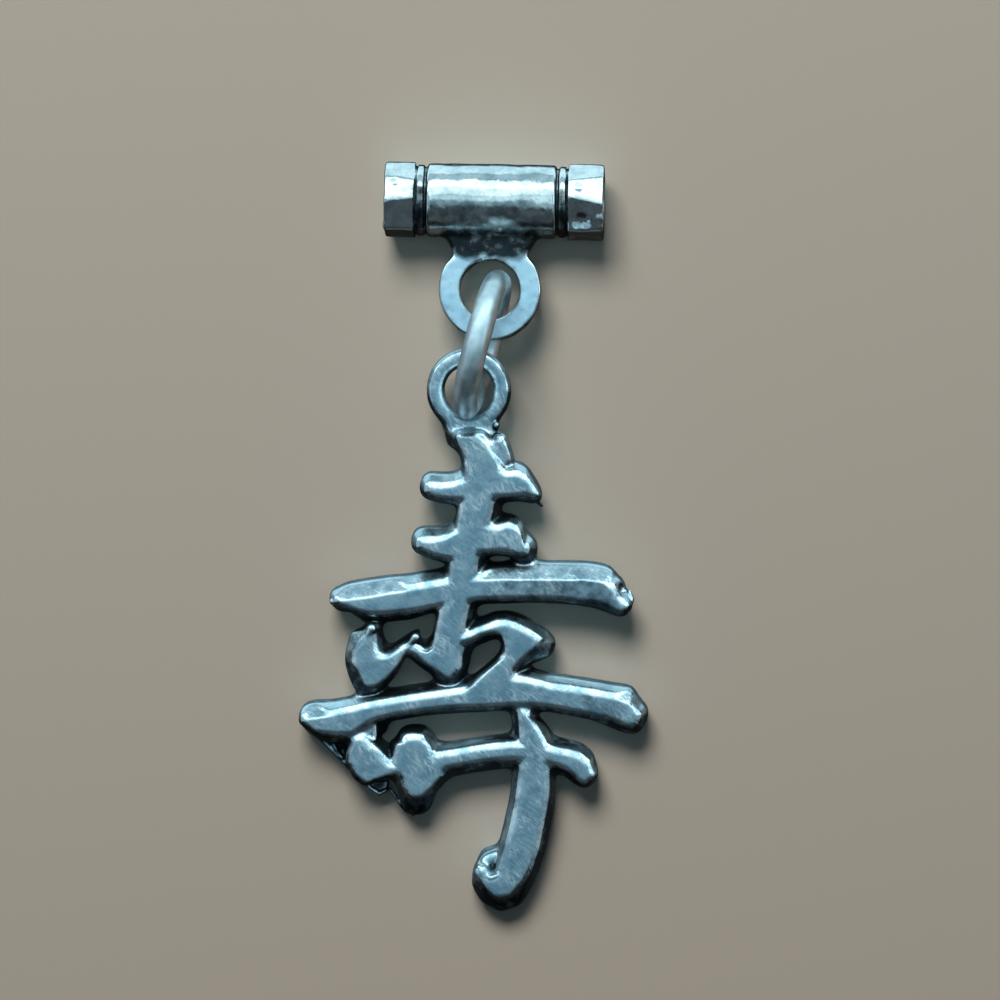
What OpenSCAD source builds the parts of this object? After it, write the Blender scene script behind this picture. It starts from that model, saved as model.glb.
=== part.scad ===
// Cast longevity character charm on a jump ring and a slide tube.
// It lies on a table: +Z is up, +X runs along the bore of the tube, and +Y points from the charm to
// the tube. The origin is under the middle of the whole, on the table. All sizes are in millimetres.

/* [Slide tube] */
// Outside radius of the tube
tube_r = 1.845; // [1.8:0.005:2.2]
// Length of the tube
tube_l = 10.9; // [10.5:0.05:12]
// Radius of the bore
bore_r = 1.35; // [1.1:0.05:1.45]
// Length of the left collar
left_collar_l = 1.6; // [1.2:0.05:2]
// Length of the right collar
right_collar_l = 1.8; // [1.2:0.05:2]
// Width of a grooved band between collar and barrel
band_w = 0.55; // [0.4:0.05:0.8]
// Depth of the grooves
groove_depth = 0.22; // [0.1:0.02:0.3]
// Bevel at the ends of the barrel and the collars
tube_bevel = 0.1; // [0.05:0.05:0.2]

// Radius to the corners of the filed collars
collar_r = 1.89; // [1.85:0.01:1.92]

/* [Bail ring] */
// Outside radius of the ring under the tube
bail_ring_r = 2.53; // [2.4:0.02:2.7]
// Radius of its hole
bail_hole_r = 1.48; // [1.4:0.02:1.6]
// Thickness of the ring
bail_ring_t = 1.05; // [0.8:0.05:1.2]
// Distance from the tube's axis to the ring's centre
bail_drop = 4.42; // [4.3:0.02:4.6]
// How far the ring sits to the left of the tube's middle
bail_offset = 0.15; // [0:0.05:0.5]
// Bevel on the ring's edges
ring_bevel = 0.12; // [0.1:0.02:0.3]
// Half width of the solder saddle at the tube
saddle_half = 2.45; // [1.5:0.05:3]
// Thickness of the solder saddle at the tube
saddle_t = 1.9; // [1.3:0.05:2]
// Roll of the whole bail, which lifts its ring over the jump ring
bail_roll = 4; // [3.5:0.5:8]

/* [Jump ring] */
// Radius to the middle of the wire
jump_r = 3.15; // [3.1:0.01:3.2]
// Radius of the wire
wire_r = 0.625; // [0.5:0.005:0.63]
// Turn of the ring from the Y axis
jump_turn = 13.4; // [12:0.2:15]
// Lean of the ring's top to the left
jump_lean = 3; // [0:0.5:4]

/* [Charm] */
// Thickness of the casting
charm_t = 2; // [1.8:0.05:2.2]
// Width of the bevel round each face
bevel_w = 0.33; // [0.25:0.01:0.42]
// Depth of the bevel
bevel_h = 0.26; // [0.2:0.02:0.5]
// Depth of the rounded shoulder of each side under its face
shoulder_h = 0.6; // [0.55:0.05:0.9]
// Share of a side's width that its shoulder stands out
shoulder_share = 0.92; // [0.8:0.02:0.96]
// How far the foot of a side stands out from its face
foot_w = 0.7; // [0.6:0.01:0.8]
// Lean that lifts the loop over the jump ring
charm_lean = 2.7; // [2.5:0.1:3.5]
// Turn of the charm to the tube
charm_turn = 0.9; // [0:0.1:2]

/* [Charm loop] */
// Radius to the middle of the loop's section
loop_r = 1.68; // [1.6:0.02:1.75]
// Width of the loop's section
loop_w = 0.98; // [0.8:0.02:1]
// Thickness of the loop's section
loop_t = 1.1; // [0.9:0.05:1.2]
// Height of the loop's middle over the back of the charm
loop_z = 0.85; // [0.8:0.05:1]

/* [Hidden] */
// Places before the whole is moved over the origin
bail_at = [0.93, 16.72];
jump_at = [0.5, 9.62];
charm_foot_y = -18.93;
whole_centre = [0.29, -0.17];
eps = 0.01;
// The most of a side's width that its bevel takes
bevel_share = 0.7;
end_steps = 3;

// Flat faces of the strokes, a row for each section across a stroke. Columns: X and Y of the face's
// one edge, then X and Y of its other edge, in the plane of the charm. Where a side is wider or
// narrower than foot_w there are more columns: how far its foot stands out at the one edge, at the
// other edge, and past the end of the stroke.
spine = [
    [-0.52, 5.12, 0.30, 5.15, 0.4, 0.7, 0.35],
    [-0.42, 4.75, 0.70, 4.80, 0.4],
    [-0.25, 4.35, 1.00, 4.30, 0.4],
    [-0.05, 3.90, 1.30, 3.80, 0.4],
    [-0.05, 3.30, 1.35, 3.30, 0.4],
    [-0.15, 2.65, 1.15, 2.65, 0.4],
    [-0.20, 2.00, 0.95, 2.00, 0.4],
    [-0.35, 1.20, 0.80, 1.20, 0.4],
    [-0.50, 0.40, 0.55, 0.40, 0.4],
    [-0.70, -0.75, 0.20, -0.75, 0.4],
    [-0.80, -1.60, 0.05, -1.60, 0.4],
    [-1.05, -2.50, -0.15, -2.40, 0.4],
    [-1.20, -3.20, -0.25, -3.10, 0.4],
    [-1.40, -4.10, -0.45, -4.00, 0.4],
    [-1.50, -4.90, -0.60, -4.80, 0.5],
    [-1.65, -5.50, -0.60, -5.50],
    [-2.10, -5.90, -0.70, -6.00],
    [-1.70, -6.40, -0.75, -6.45],
    [-1.25, -6.80, -1.00, -6.85],
];
first_left = [
    [-0.10, 2.90, -0.20, 2.15],
    [-0.75, 2.65, -0.75, 2.15, 0.7, 0.5],
    [-1.40, 2.55, -1.40, 2.20, 0.75, 0.5],
    [-2.00, 2.60, -2.00, 2.40, 0.8, 0.55, 0.6],
];
first_right = [
    [0.90, 3.50, 0.85, 2.30],
    [1.45, 3.35, 1.40, 2.30, 0.7, 0.5],
    [1.75, 3.15, 1.75, 2.30, 0.7, 0.5],
    [2.35, 3.20, 2.35, 2.35, 0.7, 0.55],
    [2.75, 3.00, 2.65, 2.40, 0.65, 0.6],
    [3.00, 2.60, 2.90, 2.40, 0.5, 0.65],
    [3.20, 2.30, 3.10, 2.25, 0.4, 0.6, 0.6],
];
second_left = [
    [-0.30, 0.45, -0.60, -0.75],
    [-0.65, 0.30, -0.90, -0.80, 0.7, 0.5],
    [-1.20, 0.00, -1.35, -0.75, 0.7, 0.5],
    [-1.80, -0.15, -1.90, -0.60, 0.8, 0.5],
    [-2.40, -0.15, -2.40, -0.35, 0.8, 0.55, 0.65],
];
second_right = [
    [0.50, 0.70, 0.30, -0.50],
    [0.90, 0.50, 0.85, -0.45, 0.7, 0.5],
    [1.40, 0.45, 1.40, -0.40, 0.7, 0.5],
    [1.90, 0.60, 1.90, -0.45, 0.7, 0.5],
    [2.30, 0.45, 2.20, -0.55, 0.7, 0.55],
    [2.55, 0.15, 2.40, -0.65, 0.7, 0.6],
    [2.70, -0.40, 2.65, -0.65],
];
third = [
    [-6.50, -3.05, -6.40, -3.15, 0.7, 0.7, 0.6],
    [-5.90, -3.00, -5.80, -3.40, 0.85, 0.7],
    [-5.10, -2.90, -5.05, -3.60, 0.9, 0.7],
    [-4.00, -2.70, -4.00, -3.55, 0.85, 0.7],
    [-3.00, -2.55, -3.00, -3.45, 0.8, 0.7],
    [-2.10, -2.40, -2.00, -3.25, 0.8, 0.55],
    [-1.00, -2.20, -1.15, -3.05, 0.8, 0.5],
    [0.40, -2.05, 0.30, -2.85, 0.8, 0.5],
    [1.50, -2.00, 1.50, -2.80, 0.85, 0.5],
    [3.00, -2.00, 3.00, -2.75, 0.9, 0.5],
    [4.50, -2.00, 4.50, -2.80, 0.9, 0.5],
    [5.75, -2.00, 5.70, -2.92, 0.9, 0.5],
    [6.60, -2.10, 6.50, -3.00, 0.85, 0.6],
    [6.95, -2.40, 6.80, -3.15, 1, 0.6],
    [7.20, -2.90, 7.15, -3.35, 0.65, 0.5],
    [7.70, -3.30, 7.55, -3.55, 0.4, 0.42, 0.4],
];
// The side at the right end of the third stroke, square to its face's edge
third_side = [
    [6.95, -2.40, 6.45, -2.65, 0.8, 0.5, 0.6],
    [7.20, -2.90, 6.80, -3.05, 0.68, 0.5],
    [7.70, -3.30, 7.45, -3.42, 0.45, 0.4, 0.3],
];
left_hook = [
    [-4.80, -4.45, -4.90, -4.50, 0.4, 0.45, 0.35],
    [-4.92, -4.88, -5.15, -4.84, 0.5, 0.95],
    [-4.96, -5.12, -5.42, -5.20, 0.7, 0.8],
    [-4.93, -5.40, -5.60, -5.52, 0.7, 0.75],
    [-4.85, -5.68, -5.64, -6.05, 0.7, 0.8],
    [-4.75, -5.90, -5.45, -6.80, 0.7, 0.85],
    [-4.45, -6.00, -5.20, -7.35, 0.7, 0.75],
    [-4.15, -6.00, -4.60, -7.25],
    [-3.80, -5.80, -4.05, -6.80],
    [-3.40, -5.50, -3.55, -6.25, 0.65, 0.65],
    [-3.00, -5.30, -3.10, -5.50, 0.55, 0.55],
    [-2.70, -4.90, -2.80, -5.00, 0.4, 0.4, 0.35],
];
small_hook = [
    [-2.85, -5.45, -2.90, -5.50, 0.5, 0.5, 0.4],
    [-2.50, -5.65, -2.55, -5.80, 0.6, 0.6],
    [-2.15, -5.85, -2.10, -6.20],
    [-1.70, -5.60, -1.50, -6.55],
];
right_bend = [
    [-0.50, -4.95, -0.45, -5.05],
    [0.00, -4.85, 0.00, -4.90],
    [0.50, -4.60, 0.55, -4.65],
    [1.00, -4.45, 1.05, -4.50],
    [1.40, -4.30, 1.50, -4.60],
    [1.80, -4.30, 1.70, -5.00],
    [2.25, -4.45, 1.80, -5.25],
    [2.80, -4.70, 1.85, -5.50],
    [3.35, -5.05, 1.85, -5.70, 0.78, 0.7],
    [3.20, -5.40, 1.75, -5.85, 0.78, 0.7],
    [2.60, -5.80, 1.35, -6.20],
    [2.05, -6.35, 0.85, -6.65],
    [1.90, -6.80, 0.30, -7.20],
    [2.10, -7.50, -0.25, -7.60],
];
// The side under the bend's right end, square to its face's edge
bend_side = [
    [3.35, -5.05, 2.70, -4.95, 1, 0.5, 0.4],
    [3.20, -5.40, 2.75, -5.10, 1.05, 0.5],
    [2.60, -5.80, 2.30, -5.45, 0.7, 0.5],
    [2.05, -6.35, 1.70, -6.05, 0.6, 0.5, 0.3],
];
fourth = [
    [-8.25, -9.02, -8.25, -9.15, 0.75, 0.4, 0.4],
    [-7.85, -8.98, -7.75, -9.55, 0.85, 0.6],
    [-7.00, -8.85, -7.00, -9.62],
    [-6.00, -8.65, -6.00, -9.65],
    [-5.10, -8.45, -5.00, -8.95],
    [-4.00, -8.25, -4.00, -8.70, 0.7, 0.55],
    [-2.90, -8.05, -2.90, -8.50, 0.7, 0.55],
    [-1.75, -7.90, -1.75, -8.35, 0.7, 0.55],
    [-0.50, -7.70, -0.50, -8.25, 0.7, 0.55],
    [0.75, -7.50, 0.85, -8.20, 0.7, 0.55],
    [2.10, -7.05, 2.10, -8.10, 0.7, 0.55],
    [3.00, -7.20, 3.00, -8.10, 0.7, 0.55],
    [4.00, -7.45, 4.00, -8.20, 0.7, 0.55],
    [5.10, -7.60, 5.10, -8.40, 0.7, 0.55],
    [6.10, -7.75, 6.10, -8.60, 0.7, 0.55],
    [7.20, -7.95, 7.00, -8.80],
    [7.85, -8.15, 7.60, -9.05, 0.85, 0.7],
    [8.25, -8.75, 8.05, -9.20],
];
leaf_neck = [
    [-4.75, -9.10, -5.90, -9.10],
    [-4.88, -9.75, -5.80, -9.75],
    [-5.20, -10.10, -5.65, -10.15],
];
leaf = [
    [-5.45, -10.05, -5.70, -10.10, 0.7, 0.4, 0.5],
    [-5.20, -10.35, -5.90, -10.60, 0.7, 0.4],
    [-4.85, -10.65, -5.95, -11.15, 0.7, 0.38],
    [-4.50, -11.05, -5.60, -11.85, 0.7, 0.4],
    [-4.20, -11.40, -5.05, -12.20, 0.7, 0.45],
    [-3.80, -11.45, -4.40, -11.90, 0.7, 0.5],
    [-3.40, -11.30, -3.60, -11.60],
];
peak = [
    [-3.08, -10.05, -2.52, -10.05],
    [-3.36, -10.25, -2.30, -10.25],
    [-3.50, -10.80, -2.12, -10.80],
    [-3.65, -11.30, -1.85, -11.10],
    [-3.50, -11.55, -1.45, -11.30],
    [-3.25, -11.95, -1.55, -11.90],
    [-3.10, -12.50, -2.05, -12.45],
    [-2.95, -12.85, -2.50, -12.85, 0.7, 0.7, 1.2],
];
fifth = [
    [-1.70, -10.95, -1.50, -11.40],
    [-0.90, -10.82, -0.85, -11.23, 0.6, 0.8],
    [0.00, -10.65, 0.00, -11.07, 0.6, 0.8],
    [1.00, -10.50, 1.00, -10.92, 0.6, 0.8],
    [2.00, -10.40, 2.00, -10.83, 0.6, 0.75],
    [2.85, -10.40, 2.85, -10.85, 0.6, 0.65],
    [3.65, -10.50, 3.65, -10.95, 0.65, 0.65],
    [4.30, -10.70, 4.25, -11.10],
    [4.90, -10.80, 4.80, -11.30],
    [5.40, -10.95, 5.15, -11.55, 0.65, 0.65],
    [5.80, -11.30, 5.40, -11.85, 0.65, 0.6],
    [5.95, -11.75, 5.70, -12.08, 0.5, 0.5, 0.5],
];
long_hook = [
    [2.60, -8.65, 2.70, -8.70],
    [2.70, -9.20, 3.00, -9.20],
    [2.75, -9.75, 3.35, -9.75],
    [2.80, -10.30, 3.60, -10.30, 0.7, 0.6],
    [2.75, -11.25, 3.65, -11.25, 0.7, 0.55],
    [2.65, -12.05, 3.68, -12.05, 0.65, 0.55],
    [2.53, -13.00, 3.63, -13.00, 0.65, 0.62],
    [2.38, -13.80, 3.48, -13.85, 0.65, 0.65],
    [2.20, -14.60, 3.30, -14.70, 0.65, 0.65],
    [2.00, -15.40, 3.12, -15.60, 0.65, 0.65],
    [1.80, -16.10, 2.85, -16.40, 0.6, 0.65],
    [1.60, -16.70, 2.45, -17.20, 0.55, 0.75],
    [1.35, -17.05, 1.95, -17.80, 0.5, 0.95],
    [1.10, -17.15, 1.25, -17.90, 0.5, 1.05],
    [0.95, -17.12, 0.80, -17.50, 0.5, 0.95],
    [0.80, -16.95, 0.62, -17.05, 0.45, 0.8],
    [0.60, -16.60, 0.50, -16.65, 0.4, 0.5, 0.4],
];
// The low lobe that closes the long hook's tip
hook_lobe = [
    [1.10, -15.75, 1.05, -15.95, 0.3, 0.3, 0.3],
    [0.70, -15.85, 0.85, -16.10, 0.35, 0.3],
    [0.55, -16.25, 0.80, -16.30, 0.35, 0.3],
    [0.60, -16.70, 0.85, -16.60, 0.35, 0.3, 0.3],
];
// Every stroke with how far its face lies under the top of the casting
strokes = [
    [spine, 0],
    [first_left, 0],
    [first_right, 0],
    [second_left, 0],
    [second_right, 0],
    [third, 0],
    [third_side, 0],
    [left_hook, 0],
    [small_hook, 0],
    [right_bend, 0],
    [bend_side, 0],
    [fourth, 0],
    [leaf_neck, 0.3],
    [leaf, 0],
    [peak, 0],
    [fifth, 0],
    [long_hook, 0],
    [hook_lobe, 0.8],
];
// Outline of the low plate between the fourth stroke and the leaf. Columns: X, Y
low_plate = [
    [-8.50, -9.15],
    [-8.00, -9.75],
    [-7.50, -10.15],
    [-7.00, -10.65],
    [-6.50, -11.20],
    [-6.00, -11.70],
    [-5.60, -12.15],
    [-5.15, -12.55],
    [-4.70, -12.95],
    [-4.30, -12.95],
    [-4.15, -12.60],
    [-4.20, -11.50],
    [-5.00, -9.00],
];
low_plate_t = 0.9;

function unit(v) = v / norm(v);
function foot_of(row, i) = len(row) > 4 + i ? row[4 + i] : foot_w;
// Direction across a section, from its second edge to its first
function across(row) = unit([row[0] - row[2], row[1] - row[3]]);
// Direction out of a stroke's end, away from the next section
function outward(row, next) =
    let (side = across(row), square = [-side[1], side[0]])
    square * [row[0] + row[2] - next[0] - next[2], row[1] + row[3] - next[1] - next[3]] > 0 ? square : -square;
// The point on a face's edge, the ones under its bevel and on its shoulder, and the foot of its side,
// which lies out by `way`
function side_points(x, y, way, top) =
    let (bevel = way * min(bevel_w / norm(way), bevel_share))
    [
        [x, y, top],
        [x + bevel[0], y + bevel[1], top - bevel_h],
        [x + shoulder_share * way[0], y + shoulder_share * way[1], top - shoulder_h],
        [x + way[0], y + way[1], 0],
    ];
function section_points(row, top) = concat(
    side_points(row[0], row[1], across(row) * foot_of(row, 0), top),
    side_points(row[2], row[3], -across(row) * foot_of(row, 1), top)
);
// Points round the end of a stroke, a quarter turn about each edge of its last section
function end_points(row, next, top) = [
    for (corner = [0, 1], i = [1 : end_steps])
        let (a = 90 * i / end_steps, side = corner == 0 ? across(row) : -across(row))
        each side_points(
            row[2 * corner],
            row[2 * corner + 1],
            side * foot_of(row, corner) * cos(a) + outward(row, next) * foot_of(row, 2) * sin(a),
            top
        )
];

module wrap(points) {
    hull() polyhedron(points, [[for (i = [0 : len(points) - 1]) i]]);
}

module stroke(rows, drop) {
    top = charm_t - drop;
    last = len(rows) - 1;
    for (i = [0 : last - 1]) wrap(concat(section_points(rows[i], top), section_points(rows[i + 1], top)));
    wrap(concat(section_points(rows[0], top), end_points(rows[0], rows[1], top)));
    wrap(concat(section_points(rows[last], top), end_points(rows[last], rows[last - 1], top)));
}

// Ring that the jump ring passes through, cast with the charm and flattened on its top and its back
module charm_loop() {
    loop_at = [-0.08, 7.38];
    // Half of the section, as shares of its half width and half thickness
    corner = [[1, 0.4], [0.8, 0.77], [0.48, 0.94], [0, 1]];
    section = concat(
        [for (p = corner) p],
        [for (i = [2, 1, 0]) [-corner[i][0], corner[i][1]]],
        [for (p = corner) [-p[0], -p[1]]],
        [for (i = [2, 1, 0]) [corner[i][0], -corner[i][1]]]
    );
    translate([loop_at[0], loop_at[1], loop_z])
        rotate_extrude($fn = 40)
            translate([loop_r, 0])
                scale([loop_w / 2, loop_t / 2])
                    polygon(section);
}

module bead(at, r) {
    translate(at) sphere(r = r, $fn = 14);
}

// Stub of the loop on the left of the spine, its other stub on the right, and the lump of solder there
module loop_roots() {
    left_stub_r = 0.3;
    left_foot_r = 0.22;
    right_stub_r = 0.4;
    solder_r = 0.38;
    hull() {
        bead([-1.2, 6.0, 0.9], left_stub_r);
        bead([-0.8, 5.2, 1.2], left_stub_r);
        bead([-1.15, 4.55, 0.6], left_foot_r);
        bead([-0.75, 4.55, 0.8], left_foot_r);
    }
    hull() {
        bead([0.55, 5.6, 0.9], right_stub_r);
        bead([1.1, 5.5, 0.9], right_stub_r);
        bead([1.25, 4.6, 0.9], right_stub_r);
    }
    hull() {
        bead([1.52, 4.85, 1.35], solder_r);
        bead([1.78, 4.05, 1.25], solder_r);
        bead([1.6, 4.4, 0.5], solder_r);
    }
}

module flat_charm() {
    for (entry = strokes) stroke(entry[0], entry[1]);
    linear_extrude(low_plate_t) polygon(low_plate);
    charm_loop();
    loop_roots();
}

module charm() {
    color("slategray")
        translate([-whole_centre[0], -whole_centre[1], 0])
            rotate([0, 0, charm_turn])
                translate([0, charm_foot_y, 0])
                    rotate([charm_lean, 0, 0])
                        translate([0, -charm_foot_y, 0])
                            flat_charm();
}

module jump_ring() {
    centre_z = jump_r * cos(jump_lean) + wire_r;
    color("lightsteelblue")
        translate([jump_at[0] - whole_centre[0], jump_at[1] - whole_centre[1], centre_z])
            rotate([0, 0, -jump_turn])
                rotate([0, 90 - jump_lean, 0])
                    rotate_extrude($fn = 96)
                        translate([jump_r, 0])
                            circle(r = wire_r, $fn = 32);
}

// A turned length of the tube from x to x + l, with its two ends bevelled
module turned(x, l, r, bevel) {
    translate([x, 0, 0])
        rotate([0, 90, 0])
            rotate_extrude($fn = 96)
                polygon([[0, 0], [r - bevel, 0], [r, bevel], [r, l - bevel], [r - bevel, l], [0, l]]);
}

// Filed eight-sided collar
module collar(x, l) {
    facet_turn = 18;
    translate([x, 0, 0])
        rotate([facet_turn, 0, 0])
            rotate([0, 90, 0])
                cylinder(h = l, r = collar_r, $fn = 8);
}

module tube_outside() {
    left = -tube_l / 2;
    right = tube_l / 2;
    barrel_l = tube_l - left_collar_l - right_collar_l - 2 * band_w;
    thread_w = 0.62 * band_w;
    groove_w = (band_w - thread_w) / 2;
    turned(left + left_collar_l / 2, tube_l - (left_collar_l + right_collar_l) / 2, tube_r - groove_depth, eps);
    collar(left, left_collar_l);
    collar(right - right_collar_l, right_collar_l);
    turned(left + left_collar_l + band_w, barrel_l, tube_r, tube_bevel);
    turned(left + left_collar_l + groove_w, thread_w, tube_r - tube_bevel, tube_bevel / 2);
    turned(right - right_collar_l - groove_w - thread_w, thread_w, tube_r - tube_bevel, tube_bevel / 2);
}

module bail_ring() {
    half = bail_ring_t / 2;
    translate([-bail_offset, -bail_drop, 0])
        rotate_extrude($fn = 96)
            polygon([
                [bail_hole_r, -half + ring_bevel],
                [bail_hole_r + ring_bevel, -half],
                [bail_ring_r - ring_bevel, -half],
                [bail_ring_r, -half + ring_bevel],
                [bail_ring_r, half - ring_bevel],
                [bail_ring_r - ring_bevel, half],
                [bail_hole_r + ring_bevel, half],
                [bail_hole_r, half - ring_bevel],
            ]);
}

// Solder that fills the corner between tube and ring
module saddle() {
    ring_side_half = 0.7 * saddle_half;
    tube_side_y = -tube_r + 0.3;
    ring_side_y = -bail_drop + bail_hole_r + 0.15;
    tube_side = saddle_t / 2;
    ring_side = bail_ring_t / 2 - eps;
    translate([-bail_offset, 0, 0])
        wrap([
            for (x = [-1, 1], z = [-1, 1])
                each [
                    [x * saddle_half, tube_side_y, z * tube_side],
                    [x * ring_side_half, ring_side_y, z * ring_side],
                ]
        ]);
}

module bail() {
    color("silver")
        translate([bail_at[0] - whole_centre[0], bail_at[1] - whole_centre[1], tube_r])
            rotate([-bail_roll, 0, 0])
                difference() {
                    union() {
                        tube_outside();
                        bail_ring();
                        saddle();
                    }
                    translate([-tube_l, 0, 0])
                        rotate([0, 90, 0])
                            cylinder(h = 2 * tube_l, r = bore_r, $fn = 64);
                }
}

bail();
jump_ring();
charm();
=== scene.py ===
import math

import bmesh
import bpy
import numpy as np
from mathutils import Matrix, Vector, noise
from mathutils.bvhtree import BVHTree


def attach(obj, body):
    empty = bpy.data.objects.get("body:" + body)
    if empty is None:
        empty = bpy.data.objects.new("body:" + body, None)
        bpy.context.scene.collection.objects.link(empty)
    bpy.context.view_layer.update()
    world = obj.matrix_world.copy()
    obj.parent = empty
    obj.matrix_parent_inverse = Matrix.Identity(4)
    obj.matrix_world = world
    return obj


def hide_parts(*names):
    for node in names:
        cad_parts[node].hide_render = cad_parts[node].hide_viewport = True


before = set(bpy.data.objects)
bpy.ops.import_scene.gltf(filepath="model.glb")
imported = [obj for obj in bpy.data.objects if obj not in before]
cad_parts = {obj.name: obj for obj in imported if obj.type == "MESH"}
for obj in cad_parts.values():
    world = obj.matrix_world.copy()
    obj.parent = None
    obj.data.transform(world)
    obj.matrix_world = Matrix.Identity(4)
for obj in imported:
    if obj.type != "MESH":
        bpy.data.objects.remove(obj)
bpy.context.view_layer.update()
mm = 0.001
print("frame loaded")


# Shared helpers

def linear(hexColor):
    # sRGB hex to the linear RGBA that the sockets take
    parts = [int(hexColor[i:i + 2], 16) / 255 for i in (1, 3, 5)]
    return [p / 12.92 if p <= 0.04045 else ((p + 0.055) / 1.055) ** 2.4 for p in parts] + [1]


def addNode(tree, kind, settings={}, links={}):
    # settings are node properties, socket values, or "stops" of a colour ramp
    node = tree.nodes.new("ShaderNode" + kind)
    for key, value in settings.items():
        if key == "stops":
            ramp = node.color_ramp
            while len(ramp.elements) < len(value):
                ramp.elements.new(0.5)
            for element, (place, color) in zip(ramp.elements, value):
                element.position = place
                element.color = color
        elif isinstance(key, str) and hasattr(node, key):
            setattr(node, key, value)
        else:
            node.inputs[key].default_value = value
    for key, source in links.items():
        tree.links.new(source, node.inputs[key])
    return node


def fade(values, noneAt, fullAt):
    # 0 at noneAt, 1 at fullAt, and in proportion between them
    return np.clip((values - noneAt) / (fullAt - noneAt), 0, 1)


def distanceTo(points, x, y):
    return np.hypot(points[:, 0] - x, points[:, 1] - y)


def newPiece(name, bm):
    mesh = bpy.data.meshes.new(name)
    bm.to_mesh(mesh)
    bm.free()
    piece = bpy.data.objects.new(name, mesh)
    bpy.context.scene.collection.objects.link(piece)
    return piece


def applyModifiers(piece):
    graph = bpy.context.evaluated_depsgraph_get()
    shaped = bpy.data.meshes.new_from_object(piece.evaluated_get(graph))
    piece.modifiers.clear()
    piece.data = shaped


def fuse(piece, voxel):
    # One skin over all the overlapping solids, as cast or soldered metal has
    remesh = piece.modifiers.new("fuse", "REMESH")
    remesh.mode = "VOXEL"
    remesh.voxel_size = voxel
    applyModifiers(piece)


def thin(piece, mostTriangles):
    # A fused skin is all four-sided faces, so it has twice as many triangles
    triangles = 2 * len(piece.data.polygons)
    if triangles > mostTriangles:
        decimate = piece.modifiers.new("thin", "DECIMATE")
        decimate.ratio = mostTriangles / triangles
        applyModifiers(piece)
    print(piece.name, "thinned:", triangles, "triangles to", len(piece.data.polygons), "faces")


def vertexArrays(mesh):
    points = np.zeros(len(mesh.vertices) * 3, np.float32)
    mesh.vertices.foreach_get("co", points)
    normals = np.zeros(len(mesh.vertices) * 3, np.float32)
    mesh.vertices.foreach_get("normal", normals)
    return points.reshape(-1, 3).astype(float), normals.reshape(-1, 3).astype(float)


def edgeEnds(mesh):
    edges = np.zeros(len(mesh.edges) * 2, np.int32)
    mesh.edges.foreach_get("vertices", edges)
    return edges.reshape(-1, 2).T


def spreadAlong(mesh, values, rounds):
    # Averages a value with the neighbours' values, over the mesh's edges
    a, b = edgeEnds(mesh)
    count = np.bincount(a, minlength=len(values)) + np.bincount(b, minlength=len(values))
    for _ in range(rounds):
        total = np.bincount(a, values[b], len(values)) + np.bincount(b, values[a], len(values))
        values = 0.5 * values + 0.5 * total / np.maximum(count, 1)
    return values


def movePoints(piece, points):
    piece.data.vertices.foreach_set("co", points.astype(np.float32).ravel())
    piece.data.update()


def softenForm(piece, planRounds, depthRounds):
    # Rounds the outline seen from above, and much less the height, so faces keep crisp edges
    points, _ = vertexArrays(piece.data)
    for axis, rounds in enumerate((planRounds, planRounds, depthRounds)):
        points[:, axis] = spreadAlong(piece.data, points[:, axis], rounds)
    movePoints(piece, points)


def moveHeights(piece, before, after):
    # Moves each height in before to the one in after, and those between in proportion
    points, _ = vertexArrays(piece.data)
    points[:, 2] = np.interp(points[:, 2], before, after)
    movePoints(piece, points)


def roundWhere(piece, share, rounds):
    # Rounds the form only where share says, as wear or flowing solder does
    points, normals = vertexArrays(piece.data)
    amount = spreadAlong(piece.data, share(points, normals), rounds=4)
    # Only the vertices that can move, and their neighbours, are worked on
    a, b = edgeEnds(piece.data)
    near = (amount[a] > 0.01) | (amount[b] > 0.01)
    used, ends = np.unique(np.concatenate([a[near], b[near]]), return_inverse=True)
    a, b = ends.reshape(2, -1)
    count = np.bincount(ends, minlength=len(used))[:, None]
    places = points[used]
    for _ in range(rounds):
        total = [np.bincount(a, places[b, axis], len(used)) + np.bincount(b, places[a, axis], len(used))
                 for axis in range(3)]
        places += 0.5 * amount[used, None] * (np.stack(total, 1) / count - places)
    points[used] = places
    movePoints(piece, points)


def unevenSkin(piece, waves, share=lambda points, normals: 1):
    # Lifts and sinks the skin by smooth noise. waves holds the size and height of each, in millimetres
    points, normals = vertexArrays(piece.data)
    lift = np.zeros(len(points))
    for size, height in waves:
        lift += height * np.array([noise.noise(Vector(p)) for p in (points / size).tolist()])
    movePoints(piece, points + normals * (lift * share(points, normals))[:, None])


def pressDents(piece, dents):
    # Each dent is x, y, z, radius, depth. A negative depth raises a soft bump
    points, normals = vertexArrays(piece.data)
    for x, y, z, r, depth in dents:
        near = np.clip(1 - ((points - (x, y, z)) ** 2).sum(1) / (r * r), 0, 1)
        points -= normals * (depth * near * near)[:, None]
    movePoints(piece, points)


def storeValue(mesh, name, values):
    attribute = mesh.attributes.new(name, "FLOAT", "POINT")
    attribute.data.foreach_set("value", values.astype(np.float32))


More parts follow.
